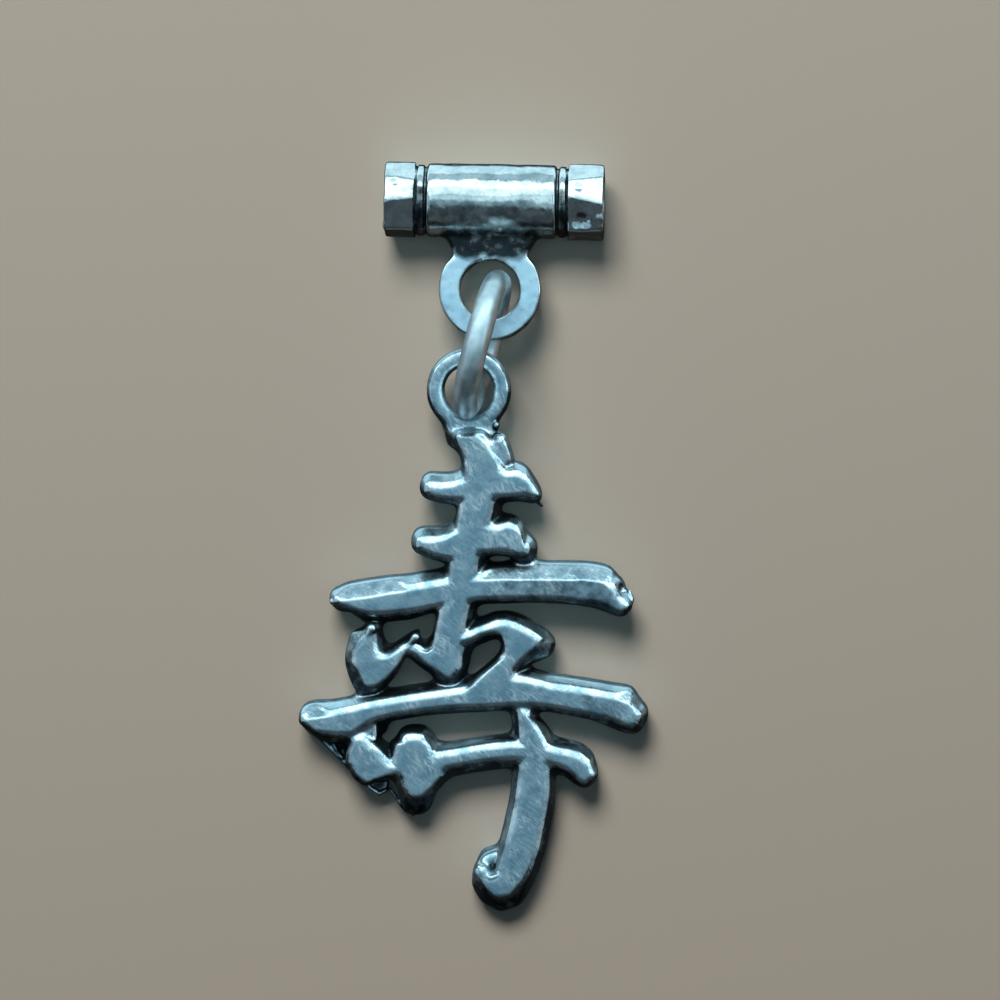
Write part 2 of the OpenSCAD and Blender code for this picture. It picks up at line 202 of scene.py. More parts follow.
def sheltered(mesh, reach, rayCount):
    # The share of rays from a point that soon meet the piece itself
    points, normals = vertexArrays(mesh)
    tree = BVHTree.FromPolygons(points.tolist(), [p.vertices[:] for p in mesh.polygons])
    slant = [0.31, 0.87, 0.38]  # any direction that no flat face of the pieces has
    turnStep = 2.39996  # the golden angle, which spreads the rays evenly
    liftOff = 0.02  # so that no ray meets the face that it starts from
    side = np.cross(normals, slant)
    side /= np.linalg.norm(side, axis=1)[:, None] + 1e-9
    across = np.cross(normals, side)
    starts = (points + normals * liftOff).tolist()
    met = np.zeros(len(points))
    for i in range(rayCount):
        height = 0.25 + 0.7 * (i + 0.5) / rayCount  # from near the surface to near its normal
        turn = i * turnStep
        flat = math.sqrt(1 - height * height)
        ways = normals * height + (side * math.cos(turn) + across * math.sin(turn)) * flat
        met += [tree.ray_cast(start, way, reach)[0] is not None for start, way in zip(starts, ways.tolist())]
    return spreadAlong(mesh, met / rayCount, rounds=3)


def bulging(mesh):
    # How far each vertex stands out from its neighbours: above 0 along edges, below 0 in grooves
    points, normals = vertexArrays(mesh)
    a, b = edgeEnds(mesh)
    way = points[b] - points[a]
    way /= np.linalg.norm(way, axis=1)[:, None] + 1e-9
    count = np.bincount(a, minlength=len(points)) + np.bincount(b, minlength=len(points))
    dropFromA = np.bincount(a, -(way * normals[a]).sum(1), len(points))
    dropFromB = np.bincount(b, (way * normals[b]).sum(1), len(points))
    return spreadAlong(mesh, (dropFromA + dropFromB) / np.maximum(count, 1), rounds=2)


def markFinish(piece, look):
    # Stores what the material reads, each from 0 to 1: where oxide is left and where shade is painted, where
    # edges rub bright, the flat scratched faces, and the steep sides, where a painted light blue reflection
    # of the sky lies
    mesh = piece.data
    points, normals = vertexArrays(mesh)
    towardsTop, up = normals[:, 1], normals[:, 2]
    face = fade(up, 0.93, 0.98) * (points[:, 1] < look["faceBelow"])
    face = spreadAlong(mesh, face, rounds=2)

    # Edges rub bright, except low down and where they face the foot of the piece
    wear = np.clip(bulging(mesh) * look["wearGain"], 0, 1)
    wear *= fade(points[:, 2], look["wearFrom"], look["wearFrom"] + 0.4) * fade(towardsTop, -0.4, -0.15)

    # The oxide bath stays in sheltered places and low on the sides; there painted shade joins it, darker
    # towards the floor and kept off the sides that face the light
    oxide = fade(sheltered(mesh, look["shelterReach"], rayCount=12), look["oxideFrom"], look["oxideTo"])
    depth = fade(points[:, 2], look["lowFrom"] + look["lowHeight"], look["lowFrom"])
    oxide = 1 - (1 - oxide) * (1 - look["lowShare"] * depth * np.clip(0.8 - towardsTop, 0.1, 1))
    # Painted shade: the steep sides that face the foot, away from the light, are darkened. The polishing
    # wheel went over the faces
    farSideShade = look["lowerShare"] * fade(up, 0.9, 0.75) * np.clip(0.8 - 1.6 * towardsTop, 0, 1)
    oxide = np.maximum(oxide, farSideShade)
    # Painted shade on the lower sides, where a look gives it
    oxide = np.maximum(oxide, look["lowSide"](points, normals))
    oxide *= 1 - look["faceCleaned"] * face
    # Dark bands across x, kept off what faces +Y: oxide in grooves, and painted shade on sides that face
    # away from the light
    for start, end, highest, share in look["darkBands"]:
        band = (points[:, 0] > start) & (points[:, 0] < end)
        oxide = np.maximum(oxide, share * band * fade(towardsTop, highest, highest - 0.15))
    # Dark patches, kept off what faces +Y: painted shade on solder and in a notch, and other darker places
    for x, y, r, share in look["darkPatches"]:
        darkPatch = fade(distanceTo(points, x, y), r, r / 2) * (towardsTop < 0.3)
        oxide = np.maximum(oxide, share * darkPatch)

    storeValue(mesh, "oxide", np.clip(oxide - look["wearCleaned"] * wear, 0, 1))
    storeValue(mesh, "wear", wear)
    storeValue(mesh, "face", face)
    storeValue(mesh, "side", fade(up, 0.78, 0.48))


def nowhere(points, normals):
    return np.zeros(len(points))


def place(piece, placing, material, node, slot):
    # The finished piece: into the row frame, in metres, standing for its CAD node
    piece.data.transform(Matrix.Scale(mm, 4) @ placing)
    for polygon in piece.data.polygons:
        polygon.use_smooth = True
    piece.data.materials.clear()
    piece.data.materials.append(material)
    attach(piece, "root")
    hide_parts(node)
    print(piece.name, "placed:", len(piece.data.polygons), "faces")


def addBall(bm, at, r):
    bmesh.ops.create_icosphere(bm, subdivisions=3, radius=r, matrix=Matrix.Translation(at))


def addRod(bm, points):
    # A rounded bead of metal along points (x, y, z, radius)
    for x, y, z, r in points:
        addBall(bm, (x, y, z), r)
    for start, end in zip(points, points[1:]):
        way = Vector(end[:3]) - Vector(start[:3])
        turn = way.to_track_quat("Z", "Y").to_matrix().to_4x4()
        middle = Matrix.Translation((Vector(end[:3]) + Vector(start[:3])) / 2)
        bmesh.ops.create_cone(bm, cap_ends=True, segments=24, radius1=start[3], radius2=end[3],
                              depth=way.length, matrix=middle @ turn)


def addRods(piece, rods):
    bm = bmesh.new()
    bm.from_mesh(piece.data)
    for rod in rods:
        addRod(bm, rod)
    bm.to_mesh(piece.data)
    bm.free()


# Silver

# The sockets of a Mix node that mixes colours, which only their numbers tell apart
mixShare, mixUnder, mixOver, mixed = 0, 6, 7, 2


def silver(name, look):
    # Sterling silver: clear and bright where it is rubbed, blue-black where the oxide bath was left and
    # where shade is painted, tinted blue by painted reflections of the sky on its faces and sides
    material = bpy.data.materials.new(name)
    material.use_nodes = True
    tree = material.node_tree
    tree.nodes.clear()
    coordinates = addNode(tree, "TexCoord").outputs["Object"]
    oxide = addNode(tree, "Attribute", {"attribute_name": "oxide"}).outputs["Fac"]
    wear = addNode(tree, "Attribute", {"attribute_name": "wear"}).outputs["Fac"]
    face = addNode(tree, "Attribute", {"attribute_name": "face"}).outputs["Fac"]
    side = addNode(tree, "Attribute", {"attribute_name": "side"}).outputs["Fac"]

    # Cloudy tarnish, broad and in fine specks. The specks are drawn coarser than real grain, so they show
    broad = addNode(tree, "TexNoise", {"Scale": 1 / (look["stainSize"] * mm), "Detail": 4, "Roughness": 0.6},
                    {"Vector": coordinates}).outputs["Fac"]
    tarnish = [(0.4, linear(look["clean"])), (0.62, linear(look["stained"]))]
    cloud = addNode(tree, "ValToRGB", {"stops": tarnish}, {"Fac": broad}).outputs["Color"]
    grit = addNode(tree, "TexNoise", {"Scale": 1 / (look["grainSize"] * mm), "Detail": 1.5},
                   {"Vector": coordinates}).outputs["Fac"]
    specks = addNode(tree, "MapRange", {"From Min": 0.52, "From Max": 0.72, "To Max": look["speckShow"]},
                     {"Value": grit}).outputs["Result"]

    # Scratches in several directions, each a noise stretched long and cut to its crests, and gathered in
    # patches. They are drawn wider than real ones, so they show
    lines = None
    for angle, length, width in look["scratches"]:
        turned = addNode(tree, "Mapping", {"vector_type": "TEXTURE", "Rotation": (0, 0, math.radians(angle)),
                                           "Scale": (length * mm, width * mm, length * mm)},
                         {"Vector": coordinates}).outputs["Vector"]
        grain = addNode(tree, "TexNoise", {"Scale": 1, "Detail": 1}, {"Vector": turned}).outputs["Fac"]
        line = addNode(tree, "MapRange", {"From Min": look["scratchFrom"], "From Max": look["scratchTo"]},
                       {"Value": grain}).outputs["Result"]
        lines = line if lines is None else addNode(tree, "Math", {"operation": "MAXIMUM"},
                                                   {0: lines, 1: line}).outputs["Value"]
    patches = addNode(tree, "TexNoise", {"Scale": 1 / (look["patchSize"] * mm), "Detail": 2},
                      {"Vector": coordinates}).outputs["Fac"]
    gathered = addNode(tree, "MapRange", {"From Min": 0.44, "From Max": 0.6, "To Min": 0.05},
                       {"Value": patches}).outputs["Result"]
    most = look["scratchShow"]
    onFaces = addNode(tree, "MapRange", {"To Min": 0.15 * most, "To Max": most},
                      {"Value": face}).outputs["Result"]
    strength = addNode(tree, "Math", {"operation": "MULTIPLY"}, {0: gathered, 1: onFaces}).outputs["Value"]
    scratched = addNode(tree, "Math", {"operation": "MULTIPLY"}, {0: lines, 1: strength}).outputs["Value"]

    # The edge of the oxide and of the painted shade is ragged; for the oxide, because the polishing wheel
    # skips
    ragged = addNode(tree, "MapRange", {"From Min": 0.3, "From Max": 0.7, "To Min": -0.22, "To Max": 0.22},
                     {"Value": broad}).outputs["Result"]
    stained = addNode(tree, "Math", {"operation": "ADD"}, {0: oxide, 1: ragged}).outputs["Value"]
    dark = addNode(tree, "MapRange", {"From Min": 0.25, "From Max": 0.85, "To Max": look["oxideMost"]},
                   {"Value": stained}).outputs["Result"]

    # Colour: each finish, painted reflection and painted shade over the one before it
    # Painted reflection: the flat faces are tinted grey-blue, as if mirroring the sky
    faceSkyReflection = addNode(tree, "Math", {"operation": "MULTIPLY", 1: look["faceShow"]},
                      {0: face}).outputs["Value"]
    # Painted reflection: the steep sides are tinted light blue, as if mirroring the sky
    sideSkyReflection = addNode(tree, "Math", {"operation": "MULTIPLY", 1: look["sideShow"]},
                       {0: side}).outputs["Value"]
    finishes = [(faceSkyReflection, "face"), (specks, "speck"), (scratched, "scratchColor"), (sideSkyReflection, "side"),
                (wear, "rubbed"), (dark, "oxide")]
    color = cloud
    for share, finish in finishes:
        color = addNode(tree, "Mix", {"data_type": "RGBA", mixOver: linear(look[finish])},
                        {mixShare: share, mixUnder: color}).outputs[mixed]

    # Roughness: the grain of the surface, duller on the scratched faces, the cast sides and where oxide or
    # painted shade lies
    gloss = addNode(tree, "MapRange", {"From Min": 0.3, "From Max": 0.7, "To Min": look["roughLow"],
                                       "To Max": look["roughHigh"]}, {"Value": grit}).outputs["Result"]
    cast = addNode(tree, "Math", {"operation": "MULTIPLY_ADD", 1: look["sideDull"]},
                   {0: side, 2: gloss}).outputs["Value"]
    satin = addNode(tree, "Math", {"operation": "MULTIPLY_ADD", 1: look["faceDull"]},
                    {0: face, 2: cast}).outputs["Value"]
    rough = addNode(tree, "Math", {"operation": "MULTIPLY_ADD", 1: look["oxideDull"], "use_clamp": True},
                    {0: dark, 2: satin}).outputs["Value"]

    # Relief: a soft swell, then the grain, then the scratches
    swell = addNode(tree, "TexNoise", {"Scale": 1 / (look["swellSize"] * mm), "Detail": 1.5},
                    {"Vector": coordinates}).outputs["Fac"]
    waves = addNode(tree, "Bump", {"Strength": 1, "Distance": look["swellDepth"] * mm},
                    {"Height": swell}).outputs["Normal"]
    pits = addNode(tree, "Bump", {"Strength": 1, "Distance": look["grainDepth"] * mm},
                   {"Height": grit, "Normal": waves}).outputs["Normal"]
    grooves = addNode(tree, "Bump", {"Strength": 1, "Distance": look["scratchDepth"] * mm, "invert": True},
                      {"Height": lines, "Normal": pits}).outputs["Normal"]

    shader = addNode(tree, "BsdfPrincipled", {"Metallic": 1.0},
                     {"Base Color": color, "Roughness": rough, "Normal": grooves})
    addNode(tree, "OutputMaterial", {}, {"Surface": shader.outputs["BSDF"]})
    return material


# Cast and oxidised: satin faces with fine scratches, tinted grey-blue by a painted reflection of the sky,
# bright bevels, and a painted light blue reflection on the steep sides. Sizes and depths are in mm
castSilverLook = {
    "clean": "#e0eef4", "stained": "#93adbb", "speck": "#74889a", "rubbed": "#f4f8f7", "oxide": "#20272a",
    "side": "#c4dfea", "sideShow": 0.7, "sideDull": 0.15, "face": "#82a6b8", "faceShow": 0.65,
    "scratchColor": "#f4f8fa", "stainSize": 0.8, "grainSize": 0.3, "grainDepth": 0.004, "speckShow": 0.3,
    "swellSize": 0.8, "swellDepth": 0.005, "patchSize": 1.1,
    "scratches": [(-52, 0.42, 0.16), (-35, 0.6, 0.13), (-70, 0.45, 0.15)],  # degrees, length, width
    "scratchFrom": 0.53, "scratchTo": 0.7, "scratchShow": 0.7, "scratchDepth": 0.004,
    "roughLow": 0.17, "roughHigh": 0.25, "faceDull": 0.22, "oxideMost": 0.96, "oxideDull": 0.15,
}
# Turned, filed and tumbled: nearly a mirror, with soft waves, and a painted light blue reflection of the sky
# on the ring's face and the steep sides
tubeSilverLook = dict(castSilverLook, clean="#eef3f3", stained="#c6d2d5", roughLow=0.12, roughHigh=0.2,
                      grainDepth=0.002, swellDepth=0.01, scratchShow=0.2, scratchDepth=0.002, speckShow=0.15,
                      side="#cfe2ea", sideShow=0.5, sideDull=0.05, face="#b4dcf2", faceShow=0.7)
# Drawn wire: an even satin all round, with the tube's painted light blue reflection on its steep sides
wireSilverLook = dict(tubeSilverLook, roughLow=0.4, roughHigh=0.48, faceDull=0, sideDull=0)


# Charm: the CAD casting copied, given its small cast forms and fused

# Beads and rims of metal, as x, y, z and radius along each, on the flat plan of the charm
castRods = [
    # Solder lump beside the spine's top, the rolled edge of that top, a bead on the loop's root and a
    # ridge on the left lug
    [(1.50, 4.86, 1.40, 0.46), (1.78, 4.05, 1.28, 0.47)],
    [(0.05, 5.28, 1.55, 0.2), (0.55, 5.12, 1.6, 0.27), (1.02, 4.62, 1.6, 0.28),
     (1.38, 3.95, 1.62, 0.2)],
    [(1.30, 5.67, 1.25, 0.17), (1.20, 5.55, 1.00, 0.20)],
    [(-1.10, 4.90, 1.10, 0.10), (-0.90, 4.65, 1.05, 0.12), (-0.66, 4.40, 0.95, 0.12)],
    # Tips of the first and second strokes' right ends
    [(2.85, 2.25, 0.95, 0.09), (3.20, 1.95, 0.80, 0.11), (3.52, 1.62, 0.55, 0.10)],
    [(2.70, -0.62, 1.35, 0.12), (2.82, -0.78, 1.25, 0.16)],
    [(3.15, -0.80, 0.80, 0.08), (3.38, -1.25, 0.45, 0.08)],
    # Third stroke: bead at its left tip, the rim below it, the rim along its lower right edge and the
    # lip of its end
    [(-6.85, -3.12, 1.62, 0.17), (-6.65, -3.22, 1.70, 0.12)],
    [(-5.90, -3.65, 1.30, 0.07), (-5.35, -4.15, 0.80, 0.08)],
    [(3.00, -2.83, 1.86, 0.06), (4.50, -2.88, 1.86, 0.07), (6.00, -3.03, 1.86, 0.07),
     (6.75, -3.25, 1.84, 0.07), (7.15, -3.48, 1.70, 0.09), (7.45, -3.75, 1.30, 0.10)],
    [(7.15, -2.95, 1.62, 0.11), (7.50, -3.25, 1.55, 0.15), (7.88, -3.38, 1.45, 0.18),
     (8.03, -3.00, 1.30, 0.14), (7.90, -2.60, 1.20, 0.09)],
    # The left hook's bead and the ridge down from it
    [(-4.90, -4.45, 1.86, 0.26), (-5.12, -4.80, 1.84, 0.17), (-5.45, -5.15, 1.83, 0.14),
     (-5.68, -5.45, 1.80, 0.12), (-5.72, -5.90, 1.76, 0.10), (-5.60, -6.60, 1.74, 0.08),
     (-5.35, -7.20, 1.72, 0.07)],
    # The hook's other bead, and the crescent between it and the spine
    [(-2.72, -4.88, 1.85, 0.23), (-3.00, -5.20, 1.82, 0.15), (-3.40, -5.42, 1.80, 0.10)],
    [(-2.80, -5.35, 1.88, 0.07), (-2.50, -5.60, 1.90, 0.10), (-2.15, -5.72, 1.90, 0.10),
     (-1.80, -5.50, 1.88, 0.09), (-1.62, -5.00, 1.84, 0.07)],
    # Lower right edge of the bend
    [(3.65, -5.55, 1.45, 0.07), (3.00, -6.05, 1.60, 0.08), (2.50, -6.45, 1.60, 0.07)],
    # Rims of the fourth stroke's left tip and of the low plate, outside and inside
    [(-8.50, -9.20, 1.50, 0.08), (-8.00, -9.75, 1.30, 0.10)],
    [(-8.00, -9.78, 0.82, 0.10), (-7.50, -10.15, 0.82, 0.12), (-7.10, -10.55, 0.82, 0.13),
     (-6.50, -11.15, 0.82, 0.12), (-6.00, -11.70, 0.82, 0.12), (-5.50, -12.22, 0.82, 0.12),
     (-5.00, -12.63, 0.82, 0.11), (-4.60, -12.90, 0.82, 0.11), (-4.25, -12.70, 0.82, 0.09)],
    [(-6.95, -10.30, 0.95, 0.09), (-6.70, -10.70, 0.95, 0.10), (-6.45, -11.05, 0.95, 0.08)],
    # Ridge and bead on the leaf's neck
    [(-4.78, -9.20, 1.72, 0.07), (-4.75, -9.70, 1.72, 0.08), (-4.78, -10.10, 1.72, 0.07)],
    [(-5.18, -9.92, 1.70, 0.10), (-4.88, -10.05, 1.74, 0.13)],
    # Foot of the peak
    [(-4.10, -12.65, 0.75, 0.08), (-3.85, -12.98, 0.75, 0.09), (-3.60, -13.40, 0.65, 0.09),
     (-3.30, -13.78, 0.55, 0.09), (-2.90, -13.98, 0.50, 0.08)],
    # Right end of the fifth stroke
    [(5.15, -11.85, 1.20, 0.08), (5.50, -12.35, 0.75, 0.08)],
    # The long hook's tip: crescent and left rim
    [(0.42, -16.42, 1.80, 0.09), (0.60, -16.75, 1.86, 0.12), (1.00, -16.98, 1.88, 0.13),
     (1.35, -16.85, 1.88, 0.11), (1.55, -16.60, 1.86, 0.07)],
    [(0.45, -17.10, 1.35, 0.08), (0.60, -17.60, 1.05, 0.09), (0.90, -18.00, 0.75, 0.08)],
    # The lobe that closes the long hook's tip, and the small lump in its pocket
    [(0.55, -16.55, 1.10, 0.40), (0.85, -16.15, 1.10, 0.42), (1.35, -15.95, 1.05, 0.42)],
    [(1.10, -16.35, 0.95, 0.34)],
]
# Hollows pressed in, as x, y, z, radius and depth
castDents = [
    (7.55, -2.50, 1.45, 0.40, 0.28), (-6.50, -10.75, 0.90, 0.35, 0.12),
]


def charmPlacing(look):
    # From the flat plan of the charm to where it lies, leant on the jump ring
    foot = Matrix.Translation((0, look["foot"], 0))
    lean = foot @ Matrix.Rotation(math.radians(look["lean"]), 4, "X") @ foot.inverted()
    turn = Matrix.Rotation(math.radians(look["turn"]), 4, "Z")
    return Matrix.Translation((-look["centre"][0], -look["centre"][1], 0)) @ turn @ lean


lowPlate = (-6, -11.2)  # the middle of the thin low plate
plateReach = 2.2


def wornSides(points, normals):
    # The upper part of the sides that face the foot
    return np.clip(-3 * normals[:, 1] - 0.3, 0, 1) * fade(points[:, 2], 0.6, 1.4)


def castSides(points, normals):
    # Low on the sides, but not the thin low plate
    offPlate = fade(distanceTo(points, *lowPlate), plateReach, plateReach + 0.4)
    return fade(points[:, 2], 1.4, 1.0) * offPlate


def shadeBelowBevel(points, normals):
    # Painted shade: the sides that face the foot, away from the light, are black below the bevel, except on
    # the low plate and at the loop
    facing = fade(normals[:, 1], 0.1, -0.1) * fade(points[:, 2], 1.75, 1.65)
    return 0.8 * facing * (points[:, 1] < 4) * (distanceTo(points, *lowPlate) > plateReach)


def rootArea(points, normals):
    # The solder lump and the lug beside the spine's top, but not its flat face
    away = np.minimum(distanceTo(points, 1.65, 4.45), distanceTo(points, -1.0, 4.65))
    return fade(away, 0.9, 0.6) * (points[:, 2] < 1.85)


def tipArea(points, normals):
    # The lobe in the long hook's tip
    return fade(distanceTo(points, 0.9, -16.2), 1.0, 0.7) * (points[:, 2] < 1.75)


charmLook = {
    "foot": -18.93, "lean": 2.7, "turn": 0.9, "centre": (0.29, -0.17),  # how it lies, in mm and degrees
    # The bevels are a little flatter than the CAD's, and the shoulders under them steeper
    "heights": [0, 1.4, 1.74, 2, 3], "heightsMade": [0, 1.28, 1.82, 2, 3],
    # Rounds of softening: the whole, the worn and the cast sides, the added rods, the loop's root, the tip
    "voxel": 0.05, "mostTriangles": 190000, "planRounds": 14, "depthRounds": 1, "wornRounds": 40,
    "footRounds": 150, "rodRounds": 1, "rootRounds": 90, "tipRounds": 60,
    # Uneven skin, and the share of it on the flat faces
    "waves": [(1.4, 0.012), (0.45, 0.003)], "faceShare": 0.3,
    "shelterReach": 2.2, "oxideFrom": 0.15, "oxideTo": 0.5, "lowFrom": 0, "lowHeight": 1.4, "lowShare": 0.95,
    "lowerShare": 0.9, "lowSide": shadeBelowBevel, "faceBelow": 99, "faceCleaned": 0.7,
    "wearGain": 3, "wearFrom": 1.3, "wearCleaned": 0.6, "darkBands": [],
    # Darker places, as x, y, radius and share; the last is painted shade in the dark notch between the leaf
    # and the peak
    "darkPatches": [(3.0, -2.4, 2.6, 0.5), (6.0, -2.8, 2.6, 0.55), (6.5, -8.8, 2.2, 0.4),
               (-4.65, -12.3, 0.55, 0.9)],
}


def castCharm(look):
    placing = charmPlacing(look)
    bm = bmesh.new()
    bm.from_mesh(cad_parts["charm"].data)
    bm.transform(placing.inverted() @ Matrix.Scale(1 / mm, 4))
    bmesh.ops.remove_doubles(bm, verts=bm.verts, dist=0.0005)
    bmesh.ops.recalc_face_normals(bm, faces=bm.faces)
    piece = newPiece("charm_casting", bm)
    moveHeights(piece, look["heights"], look["heightsMade"])
    fuse(piece, look["voxel"])
    softenForm(piece, look["planRounds"], look["depthRounds"])
    roundWhere(piece, wornSides, look["wornRounds"])
    roundWhere(piece, castSides, look["footRounds"])
    addRods(piece, castRods)
    fuse(piece, look["voxel"])
    softenForm(piece, look["rodRounds"], look["rodRounds"])
    roundWhere(piece, rootArea, look["rootRounds"])
    roundWhere(piece, tipArea, look["tipRounds"])
    pressDents(piece, castDents)
    unevenSkin(piece, look["waves"],
               lambda points, normals: np.where(normals[:, 2] > 0.95, look["faceShare"], 1))
    thin(piece, look["mostTriangles"])
    markFinish(piece, look)
    place(piece, placing, silver("cast_sterling_silver_oxidised", castSilverLook), "charm", "charm_silver")


# Bail: turned tube with filed collars, its ring and the solder between them

bailLook = {
    "at": (0.64, 16.89, 1.845), "roll": -4, "bore": 1.35, "voxel": 0.04, "mostTriangles": 170000,
    "planRounds": 10, "depthRounds": 10, "solderRounds": 90, "collarRounds": 30,
    # Barrel and bands, as x and radius along the outside
    "outside": [(-3.94, 1.64), (-3.86, 1.64), (-3.82, 1.77), (-3.50, 1.77), (-3.46, 1.64), (-3.36, 1.64),
                (-3.33, 1.76), (-3.24, 1.835), (2.96, 1.835), (3.05, 1.76), (3.08, 1.64), (3.19, 1.64),
                (3.23, 1.77), (3.52, 1.77), (3.56, 1.64), (3.68, 1.64)],
    # Flats filed on each collar: degrees from up towards +Y, distance from the axis, tilt along the tube
    "leftFlats": [(47, 1.76, 2), (17, 1.76, -2), (-29, 1.70, 3), (-78, 1.76, 0),
                  (-123, 1.73, 0), (-168, 1.7, 0), (147, 1.7, 0), (104, 1.76, 0)],
    "rightFlats": [(51, 1.76, -2), (19, 1.74, 4), (-24, 1.70, -4), (-74, 1.76, 0),
                   (-123, 1.73, 0), (-168, 1.7, 0), (147, 1.7, 0), (106, 1.76, 0)],
    "leftCollar": (-5.45, -3.92), "rightCollar": (3.66, 5.45), "collarR": 1.9,
    "ringAt": (-0.15, -4.42), "ringR": 2.53, "holeR": 1.48, "ringT": 1.05, "ringBevel": 0.07,
    # Solder between tube and ring: y, half width and half thickness, at the tube and at the ring
    "saddle": [(-1.6, 2.45, 0.72), (-2.79, 1.715, 0.515)],
    "waves": [(1.1, 0.03), (0.4, 0.01)],
    "shelterReach": 1.5, "oxideFrom": 0.06, "oxideTo": 0.34, "lowFrom": -2, "lowHeight": 1.2,
    "lowShare": 0.4, "lowerShare": 0, "lowSide": nowhere, "faceBelow": -2.6, "faceCleaned": 0.7,
    "wearGain": 3, "wearFrom": -9, "wearCleaned": 0.6,
    # Dark bands, as x from and to, highest lean towards +Y, and share: oxide in the grooves, and painted
    # shade on the barrel's lower half, which faces away from the light
    "darkBands": [(-4.0, -3.3, 0.4, 0.85), (3.05, 3.7, 0.4, 0.85), (-3.3, 3.05, 0.03, 0.45)],
    # Painted shade on the solder between tube and ring, which slopes away from the light, as x, y, radius
    # and share
    "darkPatches": [(-2.2, -2.0, 0.8, 0.9), (-1.35, -2.2, 1.05, 0.85), (-0.75, -2.2, 1.05, 0.85),
               (-0.15, -2.2, 1.05, 0.85), (0.45, -2.2, 1.05, 0.85), (1.05, -2.2, 1.05, 0.85),
               (1.9, -2.0, 0.8, 0.9)],
}
# Hollows pressed in, as x, y, z, radius and depth. A negative depth is a bump
bailDents = [
    # The worn hollow on the right collar, and small nicks and bumps on both
    (4.38, -1.1, 1.4, 0.62, 0.14), (-4.9, 0.75, 1.6, 0.3, 0.05), (-4.4, 0.2, 1.75, 0.25, 0.04),
    (4.2, 0.6, 1.65, 0.3, 0.05), (-5.4, -1.4, 1.0, 0.4, -0.05), (5.3, -0.9, 1.5, 0.3, -0.05),
    # Bumps of solder on the barrel's lower side and over the ring's hole
    (0.3, -1.58, 0.95, 0.28, -0.05), (2.75, -1.65, 0.8, 0.3, -0.05), (-0.55, -2.95, 0.5, 0.4, -0.12),
    (-0.15, -3.0, 0.5, 0.3, -0.08),
]


def spinTube(bm, outside, bore, steps):
    # A ring of metal round the X axis, from its outside profile and its bore
    profile = [(x, r) for x, r in outside] + [(outside[-1][0], bore), (outside[0][0], bore)]
    verts = [bm.verts.new((x, 0, r)) for x, r in profile]
    edges = [bm.edges.new((a, b)) for a, b in zip(verts, verts[1:] + verts[:1])]
    bmesh.ops.spin(bm, geom=verts + edges, cent=(0, 0, 0), axis=(1, 0, 0),
                   angle=math.tau, steps=steps, use_merge=True)


def filedCollar(span, flats, look):
    # A plain ring of metal, cut flat along each of its flats
    bm = bmesh.new()
    spinTube(bm, [(span[0], look["collarR"]), (span[1], look["collarR"])], look["bore"], steps=72)
    bmesh.ops.recalc_face_normals(bm, faces=bm.faces)
    middle = Vector(((span[0] + span[1]) / 2, 0, 0))
    for angle, distance, tilt in flats:
        lean = math.sin(math.radians(tilt))
        out = Vector((lean, math.sin(math.radians(angle)), math.cos(math.radians(angle)))).normalized()
        cut = bmesh.ops.bisect_plane(bm, geom=bm.verts[:] + bm.edges[:] + bm.faces[:], dist=1e-5,
                                     plane_co=middle + out * distance, plane_no=out, clear_outer=True)
        rim = [e for e in cut["geom_cut"] if isinstance(e, bmesh.types.BMEdge)]
        bmesh.ops.edgeloop_fill(bm, edges=rim)
    return bm


def mergeInto(bm, other):
    mesh = bpy.data.meshes.new("part")
    other.to_mesh(mesh)
    other.free()
    bm.from_mesh(mesh)
    bpy.data.meshes.remove(mesh)


def flatRing(bm, look):
    # The ring under the tube, with narrow bevels
    half, bevel, hole, r = look["ringT"] / 2, look["ringBevel"], look["holeR"], look["ringR"]
    section = [(hole, -half + bevel), (hole + bevel, -half), (r - bevel, -half), (r, -half + bevel),
               (r, half - bevel), (r - bevel, half), (hole + bevel, half), (hole, half - bevel)]
    x, y = look["ringAt"]
    verts = [bm.verts.new((x + d, y, z)) for d, z in section]
    edges = [bm.edges.new((a, b)) for a, b in zip(verts, verts[1:] + verts[:1])]
    bmesh.ops.spin(bm, geom=verts + edges, cent=(x, y, 0), axis=(0, 0, 1),
                   angle=math.tau, steps=120, use_merge=True)


def solderSaddle(bm, look):
    # A block that narrows and thins from the tube to the ring
    x = look["ringAt"][0]
    made = bmesh.ops.create_cube(bm, size=2)["verts"]
    ends = [[v for v in made if v.co.y > 0], [v for v in made if v.co.y < 0]]
    for verts, (y, width, thickness) in zip(ends, look["saddle"]):
        bmesh.ops.scale(bm, verts=verts, vec=(width, 0, thickness))
        bmesh.ops.translate(bm, verts=verts, vec=(x, y, 0))


def solderArea(points, normals):
    # Where the solder flows from the barrel to the ring
    wide = fade(abs(points[:, 0] + 0.15), 2.9, 2.5)
    return wide * fade(points[:, 1], -1.4, -1.7) * fade(points[:, 1], -3.2, -2.8)


def collarArea(points, normals):
    return (abs(points[:, 0]) > 4.1) * 0.9


